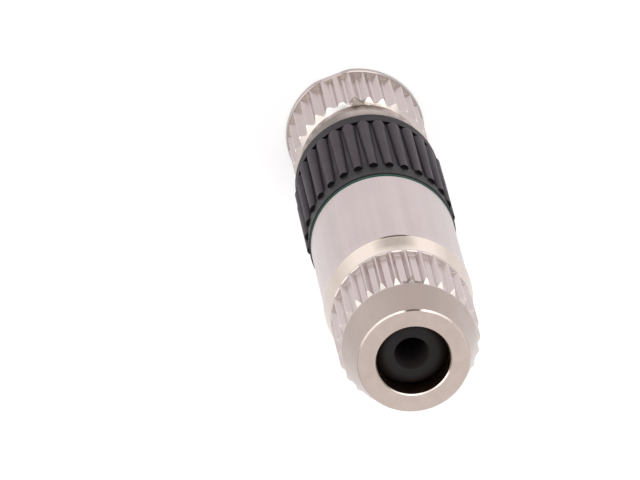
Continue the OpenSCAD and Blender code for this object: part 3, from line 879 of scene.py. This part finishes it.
# Cable seal
# A moulded bush of black rubber with a hole for the cable, tapered in front.
# The clamp nut squeezes it onto the cable.
seal_front, seal_end, seal_r = reach("cable_seal")
SEAL_HOLE_R = 1.4
SEAL_FACE_R = 2.45
SEAL_TAPER = 0.6
SEAL_SHOULDER = 0.4
THREAD_RELIEF = 0.4
HOLE_GREY = (0.05, 0.038, 0.04)


def eased(before, corner, after, size, steps=6):
    """Points that round a corner of an outline, leaving each side at a distance from the corner."""
    corner = Vector(corner)
    start = corner + (Vector(before) - corner).normalized() * size
    end = corner + (Vector(after) - corner).normalized() * size
    shares = [step / steps for step in range(steps + 1)]
    return [tuple((1 - t) ** 2 * start + 2 * t * (1 - t) * corner + t ** 2 * end) for t in shares]


clamp_thread_end = gland_end + THREAD_RELIEF
seal_tip = (SEAL_HOLE_R, seal_front)
seal_side = (seal_r, clamp_thread_end)
seal_shoulder = (SEAL_FACE_R, seal_end)
seal_mouth = (SEAL_HOLE_R, seal_end)
seal = turned("cable_seal_part", [
    seal_tip, (seal_r - SEAL_TAPER, seal_front), (seal_r, seal_front + SEAL_TAPER), seal_side,
    *eased(seal_side, seal_shoulder, seal_mouth, SEAL_SHOULDER),
    *eased(seal_shoulder, seal_mouth, seal_tip, EDGE),
])
SEAL_RUBBER = moulded("seal_rubber", **RUBBER, hole=(SEAL_HOLE_R, HOLE_GREY))
handed_over(seal, "cable_seal", "cable_seal", SEAL_RUBBER)


# Clamp nut
# Turned and fluted brass, nickel-plated, with a sloping flange and a cone-shaped collar at the cable entry.
# It screws onto the housing and squeezes the cable seal.
CLAMP_FLUTES = 29
CLAMP_FLUTE_DEPTH = 0.42
CLAMP_FLOOR_W = 0.52
CLAMP_FLUTE_ANGLE = 38.0
CLAMP_FLUTE_L = 5.4
CLAMP_FLUTE_RUNOUT = 0.07
WALL_CHAMFER = 0.08
WALL_CHAMFER_INSET = 0.15
CLAMP_RIDGE_R = 5.83
CLAMP_RIDGE_FIRST = -89.0
RIDGE_CHAMFER_L = 0.55
FLANGE_L = 1.07
FLANGE_SLOPE_L = 2.0
LAND_W = 0.24
COLLAR_R = 5.5
COLLAR_BAND = 0.14
END_FACE_R = 4.46
ENTRY_R = 3.0
ENTRY_CHAMFER = 0.1
LIP_T = 2.0

flange_end = clamp_front + FLANGE_L
land = flange_end + FLANGE_SLOPE_L
flute_start = land + LAND_W
ridge_end = flute_start + CLAMP_FLUTE_L
clamp_teeth = ridge_end - RIDGE_CHAMFER_L
collar_start = ridge_end + COLLAR_BAND
collar_end = clamp_end - EDGE
entry_start = clamp_end - ENTRY_CHAMFER
clamp_thread_r = GLAND_R - THREAD_DEPTH * SCREW_PITCH + THREAD_PLAY
gland_relief_r = GLAND_R + THREAD_GAP
clamp = turned("clamp_nut_part", [
    (clamp_thread_r, clamp_front), (clamp_flange_r - EDGE, clamp_front),
    (clamp_flange_r, clamp_front + EDGE), (clamp_flange_r, flange_end), (CLAMP_RIDGE_R, land),
    (CLAMP_RIDGE_R, clamp_teeth), (COLLAR_R, ridge_end), (COLLAR_R, collar_start),
    (END_FACE_R + EDGE, collar_end), (END_FACE_R, clamp_end), (ENTRY_R + ENTRY_CHAMFER, clamp_end),
    (ENTRY_R, entry_start), (ENTRY_R, clamp_end - LIP_T), (SOCKET_R, clamp_thread_end),
    (gland_relief_r, clamp_thread_end), (gland_relief_r, gland_end), (clamp_thread_r, gland_end),
], steps=CLAMP_FLUTES * STEPS_EACH)
cut_flutes(
    clamp, CLAMP_FLUTES, CLAMP_RIDGE_FIRST, CLAMP_RIDGE_R, CLAMP_FLUTE_DEPTH, CLAMP_FLOOR_W,
    CLAMP_FLUTE_ANGLE, low=flute_start, high=ridge_end + CLAMP_FLUTE_RUNOUT,
)
flute_half = CLAMP_FLOOR_W / 2 + CLAMP_FLUTE_DEPTH * math.tan(math.radians(CLAMP_FLUTE_ANGLE))
chamfer_half = flute_half - WALL_CHAMFER_INSET
chamfer_out = CLAMP_RIDGE_R + FLUTE_OVERCUT
chamfer_in = CLAMP_RIDGE_R - WALL_CHAMFER - FLUTE_OVERCUT
chamfer_high = flute_start + FLUTE_OVERCUT
chamfer_low = flute_start - WALL_CHAMFER - FLUTE_OVERCUT
chamfer_outline = [
    (chamfer_in, -chamfer_half, chamfer_high), (chamfer_out, -chamfer_half, chamfer_high),
    (chamfer_out, -chamfer_half, chamfer_low),
]
cut_between_ridges(clamp, chamfer_outline, (0, 2 * chamfer_half, 0), CLAMP_FLUTES, CLAMP_RIDGE_FIRST)
break_edges(clamp, width=0.015)
cut_thread(
    clamp, clamp_thread_r, SCREW_PITCH, low=clamp_front - THREAD_LEAD, high=gland_end + THREAD_RUNOUT,
    phase=SCREW_PITCH / 2, inside=True,
)

# Painted highlight: cream on the flange slope and the entry edge where the light falls.
CREAM_HIGHLIGHT = (0.84, 0.72, 0.65)
FLANGE_GREY = (0.40, 0.34, 0.295)
# Painted dark reflection on narrow edges in the middle.
EDGE_DARK_REFLECTION = (0.06, 0.045, 0.035)
# Painted reflection: the collar darker in the middle.
COLLAR_DARK_REFLECTION = (0.385, 0.31, 0.285)
BORE_BROWN = (0.34, 0.22, 0.15)
MOUTH_GREY = (0.30, 0.25, 0.21)
slope = dict(heights=(flange_end + 0.05, land))
slope_patch = dict(heights=(flange_end + 0.4, land - 0.8), angles=(-90, -76), soft=0.7, fade=12)
flange_edge = dict(heights=(flange_end - 0.1, flange_end + 0.08), angles=(-91, -76), fade=5)
under_land = dict(radii=(UNDER_FLUTES_R, CLAMP_RIDGE_R - HAIR / 2), soft=HAIR / 2)
clamp_walls = dict(heights=(land, flute_start + 2 * HAIR), **under_land)
wall_chamfers = dict(heights=(land, flute_start - HAIR), **under_land)
clamp_tooth_row = dict(heights=(clamp_teeth + TOOTH_TIP, ridge_end), radii=(COLLAR_R, CLAMP_RIDGE_R))
middle_ridge = dict(heights=(clamp_teeth - 0.05, ridge_end), angles=(-97, -83), fade=3)
collar = dict(
    heights=(collar_start, clamp_end), radii=(END_FACE_R + EDGE, COLLAR_R), angles=(-100, -80), fade=35,
)
face_edge = dict(heights=(collar_end, clamp_end), radii=(END_FACE_R + HAIR, COLLAR_R), soft=HAIR)
entry_bore = dict(heights=(clamp_end - LIP_T, entry_start), radii=(0, ENTRY_R), soft=HAIR)
entry_edge = dict(heights=(entry_start, clamp_end), radii=(0, ENTRY_R + ENTRY_CHAMFER), soft=HAIR)
CLAMP_STAINS_AND_LIGHT = [
    # Painted highlights on the flange slope, either side of the middle.
    dict(tint=CREAM_HIGHLIGHT, angles=(-64, -50), fade=22, broken=0.3, **slope),
    dict(tint=CREAM_HIGHLIGHT, angles=(-112, -100), fade=16, broken=0.3, **slope),
    dict(tint=FLANGE_GREY, share=0.85, broken=0.6, **slope_patch),
    # Painted dark reflection on the flange edge.
    dict(tint=EDGE_DARK_REFLECTION, broken=0.4, **flange_edge),
    # Painted reflection on the flute end walls; painted shade on the wall chamfers and on the teeth at the
    # sides.
    dict(tint=FLUTE_END_REFLECTION, **clamp_walls),
    dict(tint=TOOTH_SHADE, **wall_chamfers),
    dict(tint=TOOTH_SHADE, angles=(-28, 200), fade=10, **clamp_tooth_row),
    dict(tint=TOOTH_SHADE, angles=(-200, -134), fade=10, **clamp_tooth_row),
    dict(tint=DARK_BROWN, share=0.7, broken=0.7, **middle_ridge),
    # Painted reflection darkening the middle of the collar.
    dict(tint=COLLAR_DARK_REFLECTION, broken=0.2, **collar),
    # Painted reflections and highlights round the face edge: darker all round, beige in the middle, white to
    # either side.
    dict(tint=COLLAR_REFLECTION, **face_edge),
    dict(tint=FACE_REFLECTION, angles=(-130, -50), fade=25, **face_edge),
    dict(tint=WHITE_HIGHLIGHT, angles=(-122, -97), fade=10, **face_edge),
    dict(tint=WHITE_HIGHLIGHT, angles=(-75, -54), fade=10, **face_edge),
    # Painted dark reflection on the face edge.
    dict(tint=EDGE_DARK_REFLECTION, angles=(-92, -80), broken=0.4, **face_edge),
    dict(tint=BORE_BROWN, **entry_bore),
    dict(tint=MOUTH_GREY, **entry_edge),
    # Painted highlight along the lower edge of the entry.
    dict(tint=CREAM_HIGHLIGHT, angles=(62, 155), fade=12, **entry_edge),
]
CLAMP_NICKEL = plating("clamp_nickel", smooth=0.20, rough=0.32, line_height=1.2e-6, stains_and_light=CLAMP_STAINS_AND_LIGHT)
handed_over(clamp, "clamp_nut", "clamp_nut", CLAMP_NICKEL, smooth_below=7)


# Floor, light and camera
# A white table under soft studio light, seen from above the cable entry as in the photograph.
FLOOR_SIZE = 3.0
TABLE_WHITE = (0.85, 0.85, 0.85, 1)
TABLE_LIFT = 0.4
SKY_LIGHT = 0.6


def seen_directly(tree):
    """1 for what the camera, a mirror or a glass sees, and 0 for the light that a surface gathers."""
    path = tree.nodes.new("ShaderNodeLightPath")
    either = math_node(tree, "MAXIMUM", path.outputs["Is Camera Ray"], path.outputs["Is Glossy Ray"])
    return math_node(tree, "MAXIMUM", either, path.outputs["Is Transmission Ray"])


bpy.ops.object.select_all(action="DESELECT")
bpy.ops.mesh.primitive_plane_add(size=FLOOR_SIZE)
floor = bpy.context.object
floor.name = "floor"
table, table_shader, _ = new_material("white_table")
table_shader.inputs["Base Color"].default_value = TABLE_WHITE
table_shader.inputs["Roughness"].default_value = 0.9
table_shader.inputs["Specular IOR Level"].default_value = 0.0
table_shader.inputs["Emission Color"].default_value = (1, 1, 1, 1)
lift = math_node(table.node_tree, "MULTIPLY", seen_directly(table.node_tree), TABLE_LIFT)
table.node_tree.links.new(lift, table_shader.inputs["Emission Strength"])
floor.data.materials.append(table)

world = bpy.data.worlds.new("studio")
bpy.context.scene.world = world
world.use_nodes = True
sky = world.node_tree.nodes["Background"]
sky.inputs["Color"].default_value = (1, 1, 1, 1)
brightness = ramp(world.node_tree, seen_directly(world.node_tree), 0.0, 1.0, SKY_LIGHT, 1.0)
world.node_tree.links.new(brightness, sky.inputs["Strength"])

object_centre = (cad_low + cad_high) / 2


def soft_panel(name, place, size, power):
    """A square soft box that faces the object."""
    lamp = bpy.data.lights.new(name, "AREA")
    lamp.size = size
    lamp.energy = power
    holder = bpy.data.objects.new(name, lamp)
    holder.location = place
    holder.rotation_euler = (object_centre - Vector(place)).to_track_quat("-Z", "Y").to_euler()
    bpy.context.scene.collection.objects.link(holder)


soft_panel("front_panel", place=(-0.06, -0.45, 0.24), size=0.42, power=0.6)
soft_panel("left_panel", place=(0.4, -0.1, 0.3), size=0.37, power=0.45)
soft_panel("right_panel", place=(-0.4, 0.05, 0.3), size=0.37, power=0.45)

VIEW_TURN = math.radians(15.001)
VIEW_DROP = math.radians(63.756)
ENTRY_IN_VIEW = Vector((7.514, 9.7045, 641.028)) * MM  # right, down and away from the camera
LENS = 450.0
SENSOR = 36.0
NEAREST = 0.01

level = math.cos(VIEW_DROP)
forward = Vector((-math.sin(VIEW_TURN) * level, math.cos(VIEW_TURN) * level, -math.sin(VIEW_DROP)))
up = forward.cross(Vector((1, 0, 0))).normalized()
right = forward.cross(up)
entry = Vector((0, 0, cad_high.z))
eye = entry - right * ENTRY_IN_VIEW.x + up * ENTRY_IN_VIEW.y - forward * ENTRY_IN_VIEW.z
camera_data = bpy.data.cameras.new("camera")
camera_data.lens = LENS
camera_data.sensor_width = SENSOR
camera_data.clip_start = NEAREST
camera = bpy.data.objects.new("camera", camera_data)
camera.matrix_world = Matrix.Translation(eye) @ Matrix((right, up, -forward)).transposed().to_4x4()
bpy.context.scene.collection.objects.link(camera)
bpy.context.scene.camera = camera
bpy.context.scene.view_settings.view_transform = "Standard"
